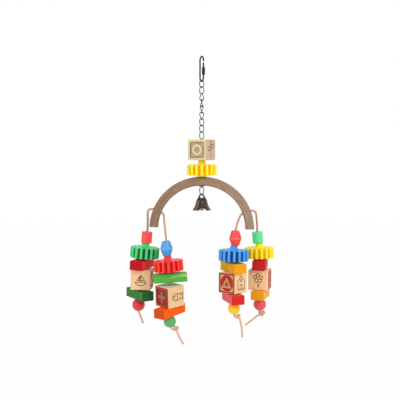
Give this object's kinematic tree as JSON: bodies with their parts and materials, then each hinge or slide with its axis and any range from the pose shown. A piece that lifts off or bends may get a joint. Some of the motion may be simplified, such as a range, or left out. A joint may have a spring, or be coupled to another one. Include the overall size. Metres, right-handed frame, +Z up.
{
  "type": "hanging bird toy",
  "caption": "Hanging bird toy: quick link, chain, wooden arch with a bell, and leather laces strung with beads, toothed wheels, slats, blocks and balls.",
  "frame": {"origin": "inside top of the quick link, where a hook or a cage bar bears", "axes": "+Z up along the hang line, -Y towards the front that the picture shows, +X to its right along the arch"},
  "size_m": [0.217, 0.0879, 0.4089],
  "materials": {
    "gunmetal": "satin",
    "nickel_wire": "satin",
    "bell_metal": "satin",
    "brass": "satin",
    "arch_wood": "matt",
    "block_wood": "satin",
    "leather": "matt",
    "red_wood": "satin",
    "coral_wood": "satin",
    "green_wood": "satin",
    "dark_green_wood": "satin",
    "orange_wood": "satin",
    "amber_wood": "satin",
    "yellow_wood": "satin",
    "light_green_wood": "satin",
    "yellow_plastic": "glossy",
    "mint_plastic": "glossy",
    "red_plastic": "glossy",
    "blue_plastic": "glossy"
  },
  "bodies": {
    "hanger": {"quick_link": "gunmetal"},
    "nut": {"quick_link_nut": "gunmetal"},
    "link_1": {"chain_link_1": "nickel_wire"},
    "link_2": {"chain_link_2": "nickel_wire"},
    "link_3": {"chain_link_3": "nickel_wire"},
    "link_4": {"chain_link_4": "nickel_wire"},
    "link_5": {"chain_link_5": "nickel_wire"},
    "link_6": {"chain_link_6": "nickel_wire"},
    "link_7": {"chain_link_7": "nickel_wire"},
    "link_8": {"chain_link_8": "nickel_wire"},
    "rod": {"centre_rod": "nickel_wire", "rod_washer": "nickel_wire"},
    "top_block_body": {"top_block": "block_wood"},
    "top_gear_body": {"top_gear": "yellow_plastic"},
    "arch_body": {"arch": "arch_wood", "left_lace": "leather", "right_lace": "leather", "left_outer_knot": "leather", "left_inner_knot": "leather", "right_inner_knot": "leather", "right_outer_knot": "leather"},
    "bell_body": {"bell": "bell_metal"},
    "clapper_body": {"clapper": "brass"},
    "left_outer_bead_body": {"left_outer_bead": "red_plastic"},
    "left_outer_gear_body": {"left_outer_gear": "mint_plastic"},
    "left_outer_upper_slat_body": {"left_outer_upper_slat": "red_wood"},
    "left_outer_block_body": {"left_outer_block": "block_wood"},
    "left_outer_lower_slat_body": {"left_outer_lower_slat": "dark_green_wood"},
    "left_outer_ball_body": {"left_outer_ball": "red_wood"},
    "left_inner_bead_body": {"left_inner_bead": "blue_plastic"},
    "left_inner_gear_body": {"left_inner_gear": "red_plastic"},
    "left_inner_upper_slat_body": {"left_inner_upper_slat": "green_wood"},
    "left_inner_block_body": {"left_inner_block": "block_wood"},
    "left_inner_lower_slat_body": {"left_inner_lower_slat": "orange_wood"},
    "left_inner_ball_body": {"left_inner_ball": "light_green_wood"},
    "right_inner_bead_body": {"right_inner_bead": "red_plastic"},
    "right_inner_gear_body": {"right_inner_gear": "blue_plastic"},
    "right_inner_upper_slat_body": {"right_inner_upper_slat": "amber_wood"},
    "right_inner_block_body": {"right_inner_block": "block_wood"},
    "right_inner_lower_slat_body": {"right_inner_lower_slat": "coral_wood"},
    "right_inner_ball_body": {"right_inner_ball": "yellow_wood"},
    "right_outer_bead_body": {"right_outer_bead": "mint_plastic"},
    "right_outer_gear_body": {"right_outer_gear": "yellow_plastic"},
    "right_outer_upper_slat_body": {"right_outer_upper_slat": "red_wood"},
    "right_outer_block_body": {"right_outer_block": "block_wood"},
    "right_outer_lower_slat_body": {"right_outer_lower_slat": "amber_wood"},
    "right_outer_ball_body": {"right_outer_ball": "coral_wood"}
  },
  "joints": [
    {"name": "nut_slide", "type": "slide", "parent": "hanger", "child": "nut", "axis": [0, 0, 1], "range_m": [0, 0.009]},
    {"name": "link_1_hinge", "type": "hinge", "parent": "hanger", "child": "link_1", "pos_m": [0, 0, -0.0338], "axis": [0.4067, -0.9135, 0], "range_deg": [-12, 12]},
    {"name": "link_2_hinge", "type": "hinge", "parent": "link_1", "child": "link_2", "pos_m": [0, 0, -0.04085], "axis": [0.5446, 0.8387, 0], "range_deg": [-12, 12]},
    {"name": "link_3_hinge", "type": "hinge", "parent": "link_2", "child": "link_3", "pos_m": [0, 0, -0.05145], "axis": [0.8387, -0.5446, 0], "range_deg": [-12, 12]},
    {"name": "link_4_hinge", "type": "hinge", "parent": "link_3", "child": "link_4", "pos_m": [0, 0, -0.05895], "axis": [-0.5446, 0.8387, 0], "range_deg": [-12, 12]},
    {"name": "link_5_hinge", "type": "hinge", "parent": "link_4", "child": "link_5", "pos_m": [0, 0, -0.06955], "axis": [0.8387, 0.5446, 0], "range_deg": [-12, 12]},
    {"name": "link_6_hinge", "type": "hinge", "parent": "link_5", "child": "link_6", "pos_m": [0, 0, -0.07705], "axis": [-0.9962, -0.0872, 0], "range_deg": [-12, 12]},
    {"name": "link_7_hinge", "type": "hinge", "parent": "link_6", "child": "link_7", "pos_m": [0, 0, -0.08765], "axis": [-0.0872, 0.9962, 0], "range_deg": [-12, 12]},
    {"name": "link_8_hinge", "type": "hinge", "parent": "link_7", "child": "link_8", "pos_m": [0, 0, -0.09515], "axis": [-0.7986, -0.6018, 0], "range_deg": [-12, 12]},
    {"name": "rod_hinge", "type": "hinge", "parent": "link_8", "child": "rod", "pos_m": [0, 0, -0.10575], "axis": [-0.6018, 0.7986, 0], "range_deg": [-12, 12]},
    {"name": "top_block_spin", "type": "hinge", "parent": "rod", "child": "top_block_body", "pos_m": [0, 0, -0.13035], "axis": [0, 0, 1], "continuous": true},
    {"name": "top_gear_spin", "type": "hinge", "parent": "rod", "child": "top_gear_body", "pos_m": [0, 0, -0.13035], "axis": [0, 0, 1], "continuous": true},
    {"name": "arch_spin", "type": "hinge", "parent": "rod", "child": "arch_body", "pos_m": [0, 0, -0.24365], "axis": [0, 0, 1], "continuous": true},
    {"name": "bell_swing", "type": "hinge", "parent": "rod", "child": "bell_body", "pos_m": [0, 0, -0.1952], "axis": [0.454, -0.891, 0], "range_deg": [-25, 25]},
    {"name": "clapper_swing", "type": "hinge", "parent": "bell_body", "child": "clapper_body", "pos_m": [0, 0, -0.2039], "axis": [0.9945, 0.1045, 0], "range_deg": [-20, 20]},
    {"name": "left_outer_bead_spin", "type": "hinge", "parent": "arch_body", "child": "left_outer_bead_body", "pos_m": [-0.0798, 0.013, -0.25715], "axis": [0.075, 0, 0.9972], "continuous": true},
    {"name": "left_outer_gear_spin", "type": "hinge", "parent": "arch_body", "child": "left_outer_gear_body", "pos_m": [-0.0826, 0.013, -0.2772], "axis": [0.0872, 0, 0.9962], "continuous": true},
    {"name": "left_outer_upper_slat_spin", "type": "hinge", "parent": "arch_body", "child": "left_outer_upper_slat_body", "pos_m": [-0.0869, 0.013, -0.2958], "axis": [0.0523, 0, 0.9986], "continuous": true},
    {"name": "left_outer_block_spin", "type": "hinge", "parent": "arch_body", "child": "left_outer_block_body", "pos_m": [-0.087, 0.013, -0.3179], "axis": [0.0262, 0.0262, 0.9993], "continuous": true},
    {"name": "left_outer_lower_slat_spin", "type": "hinge", "parent": "arch_body", "child": "left_outer_lower_slat_body", "pos_m": [-0.0905, 0.013, -0.34025], "axis": [0.014, -0.0175, 0.9998], "continuous": true},
    {"name": "left_outer_ball_spin", "type": "hinge", "parent": "arch_body", "child": "left_outer_ball_body", "pos_m": [-0.0924, 0.013, -0.3564], "axis": [0, 0, 1], "continuous": true},
    {"name": "left_inner_bead_spin", "type": "hinge", "parent": "arch_body", "child": "left_inner_bead_body", "pos_m": [-0.0496, -0.019, -0.26895], "axis": [-0.0645, 0, 0.9979], "continuous": true},
    {"name": "left_inner_gear_spin", "type": "hinge", "parent": "arch_body", "child": "left_inner_gear_body", "pos_m": [-0.0474, -0.019, -0.29145], "axis": [-0.0697, 0.0262, 0.9972], "continuous": true},
    {"name": "left_inner_upper_slat_spin", "type": "hinge", "parent": "arch_body", "child": "left_inner_upper_slat_body", "pos_m": [-0.0449, -0.019, -0.3104], "axis": [-0.0642, 0.1045, 0.9924], "continuous": true},
    {"name": "left_inner_block_spin", "type": "hinge", "parent": "arch_body", "child": "left_inner_block_body", "pos_m": [-0.0452, -0.019, -0.3358], "axis": [-0.0279, -0.0523, 0.9982], "continuous": true},
    {"name": "left_inner_lower_slat_spin", "type": "hinge", "parent": "arch_body", "child": "left_inner_lower_slat_body", "pos_m": [-0.0453, -0.019, -0.3576], "axis": [-0.0313, -0.0698, 0.9971], "continuous": true},
    {"name": "left_inner_ball_spin", "type": "hinge", "parent": "arch_body", "child": "left_inner_ball_body", "pos_m": [-0.0454, -0.019, -0.37325], "axis": [-0.2079, 0, 0.9781], "continuous": true},
    {"name": "right_inner_bead_spin", "type": "hinge", "parent": "arch_body", "child": "right_inner_bead_body", "pos_m": [0.0476, -0.013, -0.25505], "axis": [0, 0, 1], "continuous": true},
    {"name": "right_inner_gear_spin", "type": "hinge", "parent": "arch_body", "child": "right_inner_gear_body", "pos_m": [0.0453, -0.013, -0.2776], "axis": [0.0175, 0.0175, 0.9997], "continuous": true},
    {"name": "right_inner_upper_slat_spin", "type": "hinge", "parent": "arch_body", "child": "right_inner_upper_slat_body", "pos_m": [0.0449, -0.013, -0.29635], "axis": [-0.007, 0.0384, 0.9992], "continuous": true},
    {"name": "right_inner_block_spin", "type": "hinge", "parent": "arch_body", "child": "right_inner_block_body", "pos_m": [0.0443, -0.013, -0.31815], "axis": [0.0105, 0.0419, 0.9991], "continuous": true},
    {"name": "right_inner_lower_slat_spin", "type": "hinge", "parent": "arch_body", "child": "right_inner_lower_slat_body", "pos_m": [0.0447, -0.013, -0.34025], "axis": [-0.014, 0.0209, 0.9997], "continuous": true},
    {"name": "right_inner_ball_spin", "type": "hinge", "parent": "arch_body", "child": "right_inner_ball_body", "pos_m": [0.046, -0.013, -0.3559], "axis": [0, 0, 1], "continuous": true},
    {"name": "right_outer_bead_spin", "type": "hinge", "parent": "arch_body", "child": "right_outer_bead_body", "pos_m": [0.0818, 0.019, -0.25805], "axis": [-0.0872, 0, 0.9962], "continuous": true},
    {"name": "right_outer_gear_spin", "type": "hinge", "parent": "arch_body", "child": "right_outer_gear_body", "pos_m": [0.0842, 0.019, -0.2783], "axis": [-0.0175, 0.0175, 0.9997], "continuous": true},
    {"name": "right_outer_upper_slat_spin", "type": "hinge", "parent": "arch_body", "child": "right_outer_upper_slat_body", "pos_m": [0.0857, 0.019, -0.29715], "axis": [0.0174, 0.0523, 0.9985], "continuous": true},
    {"name": "right_outer_block_spin", "type": "hinge", "parent": "arch_body", "child": "right_outer_block_body", "pos_m": [0.0855, 0.019, -0.31915], "axis": [0.007, 0.014, 0.9999], "continuous": true},
    {"name": "right_outer_lower_slat_spin", "type": "hinge", "parent": "arch_body", "child": "right_outer_lower_slat_body", "pos_m": [0.0863, 0.019, -0.34105], "axis": [0.0244, 0.0384, 0.999], "continuous": true},
    {"name": "right_outer_ball_spin", "type": "hinge", "parent": "arch_body", "child": "right_outer_ball_body", "pos_m": [0.0855, 0.019, -0.3572], "axis": [0, 0, 1], "continuous": true}
  ]
}
